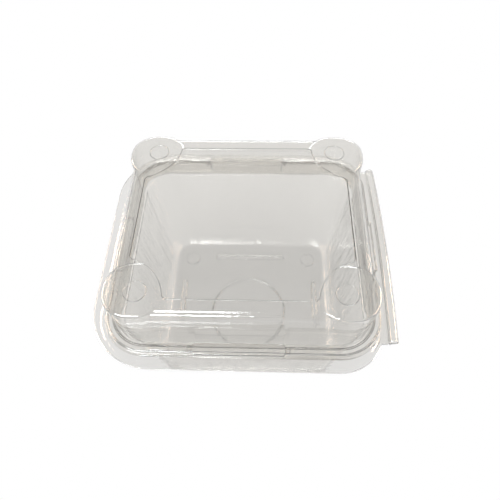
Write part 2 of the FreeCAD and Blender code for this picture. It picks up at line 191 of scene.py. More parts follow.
# %% Blocks through outlines
def block_through(loops):
    """A closed block through a row of outlines, with a face over the first and the last."""
    bm = bmesh.new()
    foot = [bm.verts.new(point) for point in loops[0]]
    cap = bm.faces.new(foot)
    for loop in loops[1:]:
        cap = bmesh.ops.extrude_discrete_faces(bm, faces=[cap])["faces"][0]
        for vert, point in zip(cap.verts, loop):
            vert.co = point
    bm.faces.new(foot)
    bmesh.ops.recalc_face_normals(bm, faces=bm.faces)
    return bm


def as_object(bm, name):
    """A mesh object from a bmesh, which is used up."""
    mesh = bpy.data.meshes.new(name)
    bm.to_mesh(mesh)
    bm.free()
    made = bpy.data.objects.new(name, mesh)
    bpy.context.scene.collection.objects.link(made)
    return made


print("blocks can be made")

# %% [markdown]
# Forms are joined to a block, or cut out of it, with one Boolean modifier that takes a whole collection.
# Its exact solver is slower than the fast one, but it copes with faces that touch or lie in one plane.


# %% Joining and cutting blocks
def combine(base, parts, operation):
    """Joins the parts to the base, or cuts them out of it, and clears the parts away."""
    group = bpy.data.collections.new("parts")
    bpy.context.scene.collection.children.link(group)
    for part in parts:
        made = as_object(part, "part")
        bpy.context.scene.collection.objects.unlink(made)
        group.objects.link(made)
    boolean = base.modifiers.new("combine", "BOOLEAN")
    boolean.operation = operation
    boolean.solver = "EXACT"
    boolean.use_self = operation == "UNION"
    boolean.operand_type = "COLLECTION"
    boolean.collection = group
    depsgraph = bpy.context.evaluated_depsgraph_get()
    result = bpy.data.meshes.new_from_object(base.evaluated_get(depsgraph))
    base.modifiers.clear()
    base.data = result
    for made in list(group.objects):
        bpy.data.objects.remove(made)
    bpy.data.collections.remove(group)
    return base


def carved(block, cutters):
    """A block with the cutters taken out of it, as a bmesh again."""
    made = combine(as_object(block, "carved"), cutters, "DIFFERENCE")
    result = bmesh.new()
    result.from_mesh(made.data)
    bpy.data.objects.remove(made)
    return result


print("blocks can be joined and cut")

# %% [markdown]
# ## The small forms
# Posts, bars with round ends and six-sided bars are all short upright blocks with softened top edges.
# A circle or a few corner points are extruded and the upper rim is bevelled, so that light catches it as
# it does on a formed sheet, where no bend is sharp.

# %% Upright blocks
SAME_HEIGHT = 1e-4
WALL_FACE = 0.5


def soften_rim(bm, z, width, segments=3):
    """Bevels the edges that lie at one height and have a wall beside them."""
    rim = [edge for edge in bm.edges if all(abs(vert.co.z - z) < SAME_HEIGHT for vert in edge.verts)]
    rim = [edge for edge in rim if any(abs(face.normal.z) < WALL_FACE for face in edge.link_faces)]
    bmesh.ops.bevel(
        bm, geom=rim, offset=width, segments=segments, profile=0.5, affect="EDGES", material=-1)


def upright(points, low, high, soft_top=0.0, soft_foot=0.0):
    """An upright block on an outline, with its top and foot edges softened."""
    bm = bmesh.new()
    verts = [bm.verts.new((x, y, low)) for x, y in points]
    face = bm.faces.new(verts)
    grown = bmesh.ops.extrude_face_region(bm, geom=[face])["geom"]
    moved = [item for item in grown if isinstance(item, bmesh.types.BMVert)]
    bmesh.ops.translate(bm, verts=moved, vec=(0, 0, high - low))
    bmesh.ops.recalc_face_normals(bm, faces=bm.faces)
    if soft_top:
        soften_rim(bm, high, soft_top)
    if soft_foot:
        soften_rim(bm, low, soft_foot)
    return bm


print("upright blocks ready")


# %% Discs, round-ended bars and boxes
def disc_points(x, y, radius, count=48):
    """Points round a circle."""
    turns = [math.tau * (step + 0.5) / count for step in range(count)]
    return [(x + radius * math.cos(angle), y + radius * math.sin(angle)) for angle in turns]


def pill_points(x, y, length, width, along_y=False, steps=12):
    """Points round a bar with round ends."""
    radius = width / 2
    reach = length / 2 - radius
    points = []
    for side in (1, -1):
        for step in range(steps + 1):
            angle = math.radians(-90 + 180 * step / steps)
            points.append((side * (reach + radius * math.cos(angle)), side * radius * math.sin(angle)))
    if along_y:
        points = [(-b, a) for a, b in points]
    return [(x + a, y + b) for a, b in points]


def box_points(low_x, high_x, low_y, high_y):
    """The four corners of a rectangle."""
    return [(low_x, low_y), (high_x, low_y), (high_x, high_y), (low_x, high_y)]


print("a disc has", len(disc_points(0, 0, 1)), "points")

# %% [markdown]
# Each half of the bead comes from a rod with rounded ends. create_cone makes a cylinder where both its
# radii are the same. It stands upright at first, and is then turned to lie along the pack's side.

# %% A rod for the bead
ROD_END_SHARE = 0.45


def lengthwise_rod(radius, half_length, x, z, segments=48):
    """A rod along Y with rounded ends."""
    bm = bmesh.new()
    bmesh.ops.create_cone(
        bm, cap_ends=True, segments=segments, radius1=radius, radius2=radius, depth=2 * half_length)
    rims = [edge for edge in bm.edges if abs(abs(edge.verts[0].co.z) - half_length) < SAME_HEIGHT]
    rims = [edge for edge in rims if abs(edge.verts[0].co.z - edge.verts[1].co.z) < SAME_HEIGHT]
    bmesh.ops.bevel(
        bm, geom=rims, offset=radius * ROD_END_SHARE, segments=4, profile=0.5, affect="EDGES",
        material=-1)
    bmesh.ops.rotate(bm, verts=bm.verts, matrix=Matrix.Rotation(math.pi / 2, 3, "X"))
    bmesh.ops.translate(bm, verts=bm.verts, vec=(x, 0, z))
    return bm


print("rod ready")

# %% [markdown]
# ## From mould to sheet
# The formed sheet is the mould's upper skin. The mould's underside and outer walls are deleted, the bead
# is bowed, and the Solidify modifier gives the skin its 0.4 mm, always into the mould, so that both
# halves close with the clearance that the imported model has. Weighted normals keep the flat areas truly
# flat in the glass-like plastic, where a normal that leans a little would bend all that is seen through
# it. Faces with many sides are split into triangles first: left whole, they draw black strips on the dome.


# %% Where a point lies, and the bow of the bead
BOW_CUTS = range(-60, 61, 6)
ON_CUT = 0.01


def beyond_mouth(point):
    """How far a point lies outside the mouth line, less than 0 inside it."""
    x = abs(point.x) - MOUTH_X + MOUTH_CORNER
    y = abs(point.y) - MOUTH_Y + MOUTH_CORNER
    return math.hypot(max(x, 0), max(y, 0)) + min(max(x, y), 0) - MOUTH_CORNER


def bow(bm):
    """Cuts the bead into short lengths and draws its ends inwards."""
    for y in BOW_CUTS:
        near = [face for face in bm.faces if face.calc_center_median().x > BOW_FROM]
        edges = {edge for face in near for edge in face.edges}
        verts = {vert for face in near for vert in face.verts}
        bmesh.ops.bisect_plane(
            bm, geom=[*verts, *edges, *near], plane_co=(0, y, 0), plane_no=(0, 1, 0), dist=ON_CUT)
    for vert in bm.verts:
        share = min(max((vert.co.x - BOW_FROM) / BOW_EASE, 0), 1)
        vert.co.x -= share * BOW * (vert.co.y / BEAD_HALF) ** 2


print("the bead's ends move in by", BOW, "mm")

# %% Turn a block into a sheet
WELD = 0.004
SLIVER = 0.003
CRISP_BEND = math.radians(32)


def delete_waste(piece, is_waste):
    """Leaves the upper skin of a block, in metres, with its sharper bends marked."""
    bm = bmesh.new()
    bm.from_mesh(piece.data)
    bmesh.ops.remove_doubles(bm, verts=bm.verts, dist=WELD)
    bmesh.ops.dissolve_degenerate(bm, edges=bm.edges, dist=SLIVER)
    bm.faces.ensure_lookup_table()
    waste = [face for face in bm.faces if is_waste(face.calc_center_median(), face.normal)]
    bmesh.ops.delete(bm, geom=waste, context="FACES")
    many_sided = [face for face in bm.faces if len(face.verts) > 4]
    bmesh.ops.triangulate(bm, faces=many_sided, ngon_method="EAR_CLIP")
    bow(bm)
    bmesh.ops.scale(bm, vec=(MM, MM, MM), verts=bm.verts)
    for face in bm.faces:
        face.smooth = True
    for edge in bm.edges:
        edge.smooth = edge.calc_face_angle(0) < CRISP_BEND
    bm.to_mesh(piece.data)
    bm.free()


def give_thickness(piece):
    """Turns a skin into a wall of the sheet's thickness."""
    wall = piece.modifiers.new("sheet", "SOLIDIFY")
    wall.thickness = SHEET * MM
    wall.offset = -1
    wall.use_even_offset = True
    wall.use_quality_normals = True
    normals = piece.modifiers.new("flat areas", "WEIGHTED_NORMAL")
    normals.keep_sharp = True
    depsgraph = bpy.context.evaluated_depsgraph_get()
    count = len(piece.evaluated_get(depsgraph).data.polygons)
    print(piece.name, "has", count, "faces")


print("helpers for the sheet ready")

# %% [markdown]
# ## The tub
# The tub's mould is hollow: a block with a deep pocket, a ledge, the sealing ridge that the lid snaps
# over, a stepped flange and a short lip that is turned down. The bend between floor and walls is large,
# because a sheet that is drawn into a tight corner gets too thin. The block reaches well below the table,
# so that the pocket never breaks through its bottom, and what is below is deleted later.

# %% The flange and its step
BELOW = 12.0
LIP = 1.2
FLANGE_CORNER, HINGE_CORNER = 38.0, 26.0
SHELF_OUT, STEP_RUN = 10.4, 1.6
HINGE_SHELF_X, HINGE_STEP_RUN = 78.8, 0.6


def shelf_edge(fraction, z):
    """The step between the shelf beside the ridge and the lower flange."""
    out = SHELF_OUT + STEP_RUN * fraction
    right = HINGE_SHELF_X + HINGE_STEP_RUN * fraction
    return outline(-MOUTH_X - out, right, MOUTH_Y + out, MOUTH_CORNER + out, HINGE_CORNER, z)


def rim_edge(z):
    """The flange's outer edge."""
    return outline(-FLANGE_X, HINGE_SIDE_X, FLANGE_Y, FLANGE_CORNER, HINGE_CORNER, z)


print("flange", round(FLANGE_X + HINGE_SIDE_X, 1), "by", round(2 * FLANGE_Y, 1), "mm")

# %% The tub's block
RIDGE_FOOT, RIDGE_OUTER, RIDGE_INNER, RIDGE_INNER_FOOT = 6.5, 6.3, 3.65, 2.2
POCKET_EDGE = -1.5
FLOOR_X, FLOOR_Y, FLOOR_CORNER = 59.0, 51.6, 10.0
HEEL_RUN, HEEL_RISE, HEEL_CORNER_GAIN, HEEL_STEP = 5.6, 8.0, 5.0, 18
TIGHT_BEND, BEND, POCKET_BEND = 0.5, 0.6, 1.1


def tub_sections():
    """Sections from the lip up over the rim and down into the pocket, with a radius for each bend."""
    sections = [
        (rim_edge(-BELOW), SHARP),
        (rim_edge(FLANGE - LIP), SHARP),
        (rim_edge(FLANGE), TIGHT_BEND),
        (shelf_edge(1, FLANGE), BEND),
        (shelf_edge(0, SHELF), BEND),
        (mouth(RIDGE_FOOT, SHELF), TIGHT_BEND),
        (mouth(RIDGE_OUTER, RIDGE_TOP), BEND),
        (mouth(RIDGE_INNER, RIDGE_TOP), BEND),
        (mouth(RIDGE_INNER_FOOT, LEDGE), BEND),
        (mouth(POCKET_EDGE, LEDGE), POCKET_BEND),
    ]
    for degrees in range(90, -1, -HEEL_STEP):
        out = HEEL_RUN * math.sin(math.radians(degrees)) - SHEET
        rise = HEEL_RISE * (1 - math.cos(math.radians(degrees))) + SHEET
        corner = FLOOR_CORNER + HEEL_CORNER_GAIN * degrees / 90 - SHEET
        sections.append((rectangle(FLOOR_X + out, FLOOR_Y + out, corner, rise), SHARP))
    return sections


tub_block = block_through(round_bends(tub_sections()))
print("tub block:", len(tub_block.faces), "faces")

# %% [markdown]
# Four ribs stiffen the floor, and a round spot lies in each of its corners. They are pressed up from
# below, and a low plain ring lies near the middle. The ring stays clear of the front rib, because where
# the two crossed, a few points of the sheet came out below the table.

# %% What is pressed up into the floor
RIB_WIDTH, RIB_HEIGHT, RIB_SOFT = 3.6, 1.5, 0.9
BACK_RIB_LENGTH, BACK_RIB_Y = 57.4, 41.1
SIDE_RIB_LENGTH, SIDE_RIB_X = 37.8, 52.3
SPOT_X, SPOT_Y, SPOT_RADIUS = 48.3, 39.7, 6.0
SPOT_HEIGHT, SPOT_SOFT = 0.5, 0.3
UNDER_FLOOR = -1.0


def floor_pressings():
    """The four ribs and the four spots."""
    rib_top = RIB_HEIGHT + SHEET
    spot_top = SPOT_HEIGHT + SHEET
    plans = [pill_points(0, side * BACK_RIB_Y, BACK_RIB_LENGTH, RIB_WIDTH) for side in (-1, 1)]
    plans += [pill_points(side * SIDE_RIB_X, 0, SIDE_RIB_LENGTH, RIB_WIDTH, True) for side in (-1, 1)]
    forms = [upright(plan, UNDER_FLOOR, rib_top, RIB_SOFT) for plan in plans]
    spots = [disc_points(x, y, SPOT_RADIUS) for x in (-SPOT_X, SPOT_X) for y in (-SPOT_Y, SPOT_Y)]
    forms += [upright(spot, UNDER_FLOOR, spot_top, SPOT_SOFT) for spot in spots]
    return forms


def plain_ring(radius, width, y):
    """A low round bead on the floor: a small circle spun about the upright axis."""
    bm = bmesh.new()
    bmesh.ops.create_circle(bm, segments=12, radius=width / 2)
    bmesh.ops.rotate(bm, verts=bm.verts, matrix=Matrix.Rotation(math.pi / 2, 3, "X"))
    bmesh.ops.translate(bm, verts=bm.verts, vec=(radius, 0, SHEET / 2))
    bmesh.ops.spin(
        bm, geom=bm.edges[:], cent=(0, 0, 0), axis=(0, 0, 1), angle=math.tau, steps=72, use_merge=True)
    bmesh.ops.translate(bm, verts=bm.verts, vec=(0, y, 0))
    bmesh.ops.recalc_face_normals(bm, faces=bm.faces)
    return bm


pressings = floor_pressings() + [plain_ring(radius=28.4, width=1.4, y=-8.2)]
print("floor pressings:", len(pressings))

# %% [markdown]
# The lower half of the bead is a trough. A rod is cut out of a slab beside the flange, and the sheet that
# lies over what is left is the trough's skin.

# %% The slab with the trough
TROUGH_INNER = 1.4
SLAB_OVERLAP = 6.0
SPARE = 3.0
CUT_FROM_X = 60


def tub_bead_block():
    """The slab, lowered beside the trough and hollowed along it."""
    slab = upright(
        box_points(HINGE_SIDE_X - SLAB_OVERLAP, BEAD_X + BEAD_RADIUS, -BEAD_HALF, BEAD_HALF),
        -BELOW, BEAD_Z - HALF_SLIT)
    beside_trough = upright(
        box_points(CUT_FROM_X, BEAD_X - TROUGH_INNER, -BEAD_HALF - SPARE, BEAD_HALF + SPARE),
        FLANGE, BEAD_Z + SPARE)
    trough = lengthwise_rod(BEAD_RADIUS - SHEET, BEAD_HALF - SHEET, BEAD_X, BEAD_Z)
    return carved(slab, [beside_trough, trough])


print("trough radius", round(BEAD_RADIUS - SHEET, 2), "mm")

# %% [markdown]
# Block, floor forms and slab are joined, and then the waste goes: the walls below the lip, everything
# under the table, and the slab's ends, its outer side and its narrow top beside the trough. Each kind is
# known by where a face lies and which way it looks.

# %% Join them and lay the sheet
SQUARE_ON, UPRIGHT_FACE = 0.9, 0.2
RIM_WALLS, OUTER_PART = 7.0, 2.0
NEAR, HAIR = 0.2, 0.02


def make_tub():
    hinge_block = tub_bead_block()
    tub = as_object(tub_block, "tub_sheet")
    combine(tub, pressings + [hinge_block], "UNION")

    def is_waste(centre, normal):
        below_lip = centre.z < FLANGE - LIP and beyond_mouth(centre) > RIM_WALLS
        bottom = centre.z < 0
        upright_face = abs(normal.z) < UPRIGHT_FACE
        slab_end = centre.x > HINGE_SIDE_X + NEAR and upright_face and centre.z < FLANGE
        slab_top = centre.x > BEAD_X + OUTER_PART and normal.z > SQUARE_ON and centre.z > BEAD_Z - NEAR
        slab_side = centre.x > BEAD_X + BEAD_RADIUS - HAIR and normal.x > SQUARE_ON
        return below_lip or bottom or slab_end or slab_top or slab_side

    delete_waste(tub, is_waste)
    give_thickness(tub)
    return tub


tub_sheet = make_tub()
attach(tub_sheet, "tub")
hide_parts("base_tub")

# %% [markdown]
# ## The lid
# The lid's mould is raised: a cap that closes over the ridge, a groove, and the dome. The dome's shoulder
# is a rounded bend with a small step above it, and the two draw the bright lines along its front.
# Four columns stand in the dome's corners. They bulge a little past the straight walls and meet them in a
# crisp line, so they are joined as solids and not blended in. Each level of the small step says how far
# it leans in, how large its corner is, how high it lies and how wide its bend is.

# %% The lid's block
SKIRT_OUT, CAP_FOOT, CAP_OUTER, CAP_INNER = 8.7, 7.3, 7.0, 2.9
GROOVE_OUTER, WALL_FOOT = 1.5, -0.5
WALL_DRAFT, SHOULDER_RUN, SHOULDER_DROP, SHOULDER_CORNER = 1.1, 1.8, 5.6, 14.0
SHOULDER_ANGLE = 15
STEP_Z = BORDER - 1.1
CAP_BEND, FOOT_BEND, GROOVE_BEND = 0.8, 0.4, 0.5
STEP_LEVELS = ((3.5, 13.5, STEP_Z + 0.1, 0.35), (4.4, 13.0, BORDER, 0.5), (5.6, 12.0, BORDER, SHARP))


def lid_sections():
    """Sections from the skirt up over the cap, down into the groove and up the dome."""
    sections = [
        (mouth(SKIRT_OUT, SKIRT - BELOW), SHARP),
        (mouth(SKIRT_OUT, SKIRT), SHARP),
        (mouth(CAP_FOOT, SKIRT + 0.2), FOOT_BEND),
        (mouth(CAP_OUTER, CAP_TOP), CAP_BEND),
        (mouth(CAP_INNER, CAP_TOP), CAP_BEND),
        (mouth(GROOVE_OUTER, GROOVE), GROOVE_BEND),
        (mouth(WALL_FOOT, GROOVE), FOOT_BEND),
    ]
    half_x = MOUTH_X + WALL_FOOT
    half_y = MOUTH_Y + WALL_FOOT
    for degrees in range(0, 91, SHOULDER_ANGLE):
        lean = WALL_DRAFT + SHOULDER_RUN * (1 - math.cos(math.radians(degrees)))
        z = STEP_Z - SHOULDER_DROP * (1 - math.sin(math.radians(degrees)))
        sections.append((rectangle(half_x - lean, half_y - lean, SHOULDER_CORNER, z), SHARP))
    for lean, corner, z, radius in STEP_LEVELS:
        sections.append((rectangle(half_x - lean, half_y - lean, corner, z), radius))
    return sections


lid_block = block_through(round_bends(lid_sections()))
print("lid block:", len(lid_block.faces), "faces")

# %% [markdown]
# Seen from above, a column is neither an oval nor a rectangle but lies between them. One number draws
# that shape: 2 gives an oval, and a larger number comes closer to a rectangle.

# %% Corner columns
COLUMN_X, COLUMN_Y = 55.1, 46.6
LOBE_X, LOBE_Y, LOBE_SOFT = 17.2, 15.8, 1.8
INTO_GROOVE = 3.0


def lobe_points(x, y, half_x, half_y, squareness=2.3, count=72):
    """An oval that is drawn a little towards a rectangle."""
    points = []
    for step in range(count):
        angle = math.tau * (step + 0.5) / count
        across, along = math.cos(angle), math.sin(angle)
        reach = (abs(across) ** squareness + abs(along) ** squareness) ** (-1 / squareness)
        points.append((x + half_x * reach * across, y + half_y * reach * along))
    return points


def columns():
    """Four corner columns with softened tops."""
    lobes = [
        lobe_points(x * COLUMN_X, y * COLUMN_Y, LOBE_X, LOBE_Y) for x in (-1, 1) for y in (-1, 1)
    ]
    return [upright(lobe, GROOVE - INTO_GROOVE, PAD_TOP, LOBE_SOFT) for lobe in lobes]


print("columns reach x", COLUMN_X + LOBE_X, "and y", round(COLUMN_Y + LOBE_Y, 1))

# %% [markdown]
# The panel in the top is sunk. Its corners are cut away by arcs round the corner columns, and each arc
# stops a little before the straight edge, so that the two meet in a small blunt bend. Each level of the
# cut says how far the outline is grown and how high it lies.

# %% The sunk panel
PANEL_X, PANEL_Y = 60.5, 51.8
ARC_X, ARC_Y, ARC_RADIUS = 65.0, 53.0, 25.0
ARC_TIP, ARC_STEPS = 1.6, 20
PANEL_LEVELS = ((-0.5, PANEL), (-0.12, PANEL + 0.12), (0, PANEL + 0.45), (0.05, PAD_TOP + SPARE))


def panel_edge(inset, z):
    """The panel's outline, grown outwards by the inset."""
    half_x, half_y, radius = PANEL_X + inset, PANEL_Y + inset, ARC_RADIUS - inset
    across, along = ARC_X - half_x, ARC_Y - half_y
    first = math.asin(across / radius) + ARC_TIP / radius
    last = math.pi / 2 - math.asin(along / radius) - ARC_TIP / radius
    quarter = [(half_x, ARC_Y - math.sqrt(radius**2 - across**2) - ARC_TIP)]
    for step in range(ARC_STEPS + 1):
        angle = first + (last - first) * step / ARC_STEPS
        quarter.append((ARC_X - radius * math.sin(angle), ARC_Y - radius * math.cos(angle)))
    quarter.append((ARC_X - math.sqrt(radius**2 - along**2) - ARC_TIP, half_y))
    back = quarter[::-1]
    points = quarter + [(-x, y) for x, y in back]
    points += [(-x, -y) for x, y in quarter] + [(x, -y) for x, y in back]
    return [Vector((x, y, z)) for x, y in points]


def panel_cutter():
    """What is taken out above the panel, with a small round at its foot."""
    return block_through([panel_edge(inset, z) for inset, z in PANEL_LEVELS])


print("panel", 2 * PANEL_X, "by", 2 * PANEL_Y, "mm")

# %% [markdown]
# A long bar lies along each side of the cap and stands a little proud of it. Its tips are pointed, and a
# small V is cut across the cap at each of them. The bars lie on four sides, so one function gives each
# side its own X and Y, and the bar and its notches are drawn only once.

# %% Bars on the cap
LONG_BAR, SHORT_BAR, BAR_SHIFT = 27.0, 19.3, -1.5
BAR_TIP, BAR_PROUD, BAR_SOFT = 2.4, 0.7, 0.4
BAR_INNER, BAR_MIDDLE, BAR_OUTER = 1.3, 4.85, 8.4
BAR_FOOT = SKIRT - 5


def bar_places():
    """For each side of the cap: half the bar's length, and how a place along and out turns into X and Y."""
    return (
        (LONG_BAR, lambda along, out: (BAR_SHIFT - along, MOUTH_Y + out)),
        (LONG_BAR, lambda along, out: (BAR_SHIFT + along, -MOUTH_Y - out)),
        (SHORT_BAR, lambda along, out: (MOUTH_X + out, along)),
        (SHORT_BAR, lambda along, out: (-MOUTH_X - out, -along)),
    )


def wide_bars():
    """Four six-sided bars with pointed tips."""
    forms = []
    for half, place in bar_places():
        edge = half - BAR_TIP
        plan = [
            (-edge, BAR_INNER), (edge, BAR_INNER), (half, BAR_MIDDLE),
            (edge, BAR_OUTER), (-edge, BAR_OUTER), (-half, BAR_MIDDLE),
        ]
        corners = [place(*point) for point in plan]
        forms.append(upright(corners, BAR_FOOT, CAP_TOP + BAR_PROUD, BAR_SOFT))
    return forms


print("bars of", 2 * LONG_BAR, "and", 2 * SHORT_BAR, "mm")

# %% Notches at the bars' tips
NOTCH_INNER, NOTCH_OUTER, NOTCH_HALF, NOTCH_DEPTH = 0.5, 9.5, 1.5, 1.5
NOTCH_ABOVE, NOTCH_GAP = 0.1, 0.2


def notches():
    """Small V cuts across the cap at both tips of each bar."""
    cutters = []
    above = CAP_TOP + BAR_PROUD + NOTCH_ABOVE
    profile = ((-NOTCH_HALF, above), (0, CAP_TOP - NOTCH_DEPTH), (NOTCH_HALF, above))
    for half, place in bar_places():
        for side in (-1, 1):
            tip = side * (half + NOTCH_GAP)
            bm = bmesh.new()
            for out in (NOTCH_INNER, NOTCH_OUTER):
                bm.faces.new([bm.verts.new((*place(tip + shift, out), z)) for shift, z in profile])
            bmesh.ops.bridge_loops(bm, edges=bm.edges[:])
            bmesh.ops.recalc_face_normals(bm, faces=bm.faces)
            cutters.append(bm)
    return cutters


print("notches", NOTCH_DEPTH, "mm deep")

# %% [markdown]
# A short button stands on the cap at the front and one at the back, both near the opening side. They
# look like the places where the lid is pressed shut. Here they are only a shape and have no grip.

# %% Lock buttons
BUTTON_X, BUTTON_OUT, BUTTON_LENGTH, BUTTON_WIDTH = -45.5, 4.95, 11.0, 3.2
BUTTON_SUNK, BUTTON_RISE, BUTTON_SOFT = 1.0, 0.9, 0.7


def buttons():
    """Two bars with round ends and well-rounded tops."""
    y = MOUTH_Y + BUTTON_OUT
    plans = [pill_points(BUTTON_X, side * y, BUTTON_LENGTH, BUTTON_WIDTH) for side in (-1, 1)]
    return [upright(plan, CAP_TOP - BUTTON_SUNK, CAP_TOP + BUTTON_RISE, BUTTON_SOFT) for plan in plans]


print("buttons", BUTTON_LENGTH, "by", BUTTON_WIDTH, "mm")

# %% [markdown]
# The upper half of the bead is a rod with everything below the slit cut away. It stands on a narrow block,
# so that the union is one body, and a flat strip joins it to the skirt. The block's sides are deleted
# with the waste.

# %% The upper half of the bead
INNER_X = BEAD_X - BEAD_RADIUS
STRIP_FROM_X, STRIP_OVERLAP = 74, 1
CUT_TO_X, CUT_HALF_Y, CUT_DEPTH = 95, 70, 9


def lid_bead_blocks():
    """The strip, the stand and the half rod."""
    under_strip = box_points(STRIP_FROM_X, INNER_X + STRIP_OVERLAP, -BEAD_HALF, BEAD_HALF)
    strip = upright(under_strip, SKIRT - BELOW, SKIRT)
    under_bead = box_points(INNER_X, BEAD_X + BEAD_RADIUS, -BEAD_HALF, BEAD_HALF)
    stand = upright(under_bead, SKIRT - BELOW, BEAD_Z + HALF_SLIT)
    rod = lengthwise_rod(BEAD_RADIUS, BEAD_HALF, BEAD_X, BEAD_Z)
    cut = box_points(CUT_FROM_X, CUT_TO_X, -CUT_HALF_Y, CUT_HALF_Y)
    below_slit = upright(cut, BEAD_Z - CUT_DEPTH, BEAD_Z + HALF_SLIT)
    return [strip, stand, carved(rod, [below_slit])]


print("bead radius", BEAD_RADIUS, "mm")

# %% [markdown]
# Columns, bars, buttons and bead are joined first. Panel, notches and a shallow round dimple in each
# corner pad are cut afterwards, because they lie in forms that have to be there before they are cut.

# %% Join them and lay the sheet
DIMPLE_X, DIMPLE_Y, DIMPLE_RADIUS, DIMPLE_DEPTH = 54.5, 48.1, 5.7, 0.5
DIMPLE_SOFT, DIMPLE_ABOVE = 0.2, 2.0
LID_WALLS, PAST_INNER = 7.5, 0.5
UNDER_SKIRT, UNDER_GROOVE, UNDER_SLIT = 0.05, 1.0, 0.01


def make_lid():
    bead_blocks = lid_bead_blocks()
    lid = as_object(lid_block, "lid_sheet")
    combine(lid, columns() + wide_bars() + buttons() + bead_blocks, "UNION")
    spots = [
        disc_points(x * DIMPLE_X, y * DIMPLE_Y, DIMPLE_RADIUS) for x in (-1, 1) for y in (-1, 1)
    ]
    low, high = PAD_TOP - DIMPLE_DEPTH, PAD_TOP + DIMPLE_ABOVE
    dimples = [upright(spot, low, high, soft_foot=DIMPLE_SOFT) for spot in spots]
    combine(lid, [panel_cutter()] + dimples + notches(), "DIFFERENCE")

    def is_waste(centre, normal):
        outer_wall = centre.z < SKIRT - UNDER_SKIRT and beyond_mouth(centre) > LID_WALLS
        bottom = centre.z < GROOVE - UNDER_GROOVE
        stand_side = centre.x > INNER_X + PAST_INNER and centre.z < BEAD_Z + HALF_SLIT - UNDER_SLIT
        return outer_wall or bottom or stand_side

    delete_waste(lid, is_waste)
    give_thickness(lid)
    return lid


lid_sheet = make_lid()
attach(lid_sheet, "lid")
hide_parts("domed_lid")

# %% [markdown]
# ## The fold
# The sheet runs on round the outside of the bead, and on the real pack it bends there when the lid opens.
# The fold is a narrow web between the two halves, made half as thick as the sheet. Short lengths along it
# let it follow the bow of the bead.

# %% The web across the fold
FOLD_END_GAP = 1.5
FOLD_REACH = 0.17
FOLD_LEVELS, FOLD_CUTS = 5, 30


def make_fold():
    """A few long edges, one above the other, bridged and cut into short lengths."""
    bm = bmesh.new()
    half = BEAD_HALF - FOLD_END_GAP
    rings = []
    for step in range(FOLD_LEVELS):
        z = BEAD_Z - FOLD_REACH + 2 * FOLD_REACH * step / (FOLD_LEVELS - 1)
        x = BEAD_X + math.sqrt(BEAD_RADIUS**2 - (z - BEAD_Z) ** 2) - SHEET / 2
        verts = [bm.verts.new((x, y, z)) for y in (-half, half)]
        rings.append(bm.edges.new(verts))
    for lower, upper in zip(rings, rings[1:]):
        bmesh.ops.bridge_loops(bm, edges=[lower, upper])
    across = [edge for edge in bm.edges if abs(edge.verts[0].co.y - edge.verts[1].co.y) > 1]
    bmesh.ops.subdivide_edges(bm, edges=across, cuts=FOLD_CUTS, use_grid_fill=True)
    bmesh.ops.recalc_face_normals(bm, faces=bm.faces)
    if bm.faces[:][0].normal.x < 0:
        bmesh.ops.reverse_faces(bm, faces=bm.faces)
    bmesh.ops.solidify(bm, geom=bm.faces[:], thickness=SHEET / 2)
    bow(bm)
    bmesh.ops.scale(bm, vec=(MM, MM, MM), verts=bm.verts)
    for face in bm.faces:
        face.smooth = True
    return as_object(bm, "hinge_fold")


hinge_fold = make_fold()
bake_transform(hinge_fold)
print("fold:", len(hinge_fold.data.polygons), "faces")

# %% [markdown]
# ## The clear plastic
# The sheet is stiff clear plastic with a faint grey cast. Glass that bends light is the honest way to
# show it, because the two faces of the wall are modelled: flat areas stay clear, and every bend draws a
# thin bright or dark line. Shadow rays pass through at part strength, so the table below is shaded and
# not black. Hot sheet stretches as it is formed and keeps faint waves and upright draw lines. A node group
# holds the waves, the lines and a slight haze, and each half of the pack uses it at its own strength.

# %% A group for the waves left by forming
LINES_ACROSS, LINES_UPRIGHT, CLOUD_SCALE = 260, 22, 45.0


def add_node(tree, kind, **settings):
    """A node with its sockets or its settings filled in by name."""
    node = tree.nodes.new(kind)
    for name, value in settings.items():
        if name in node.inputs:
            node.inputs[name].default_value = value
        else:
            setattr(node, name, value)
    return node


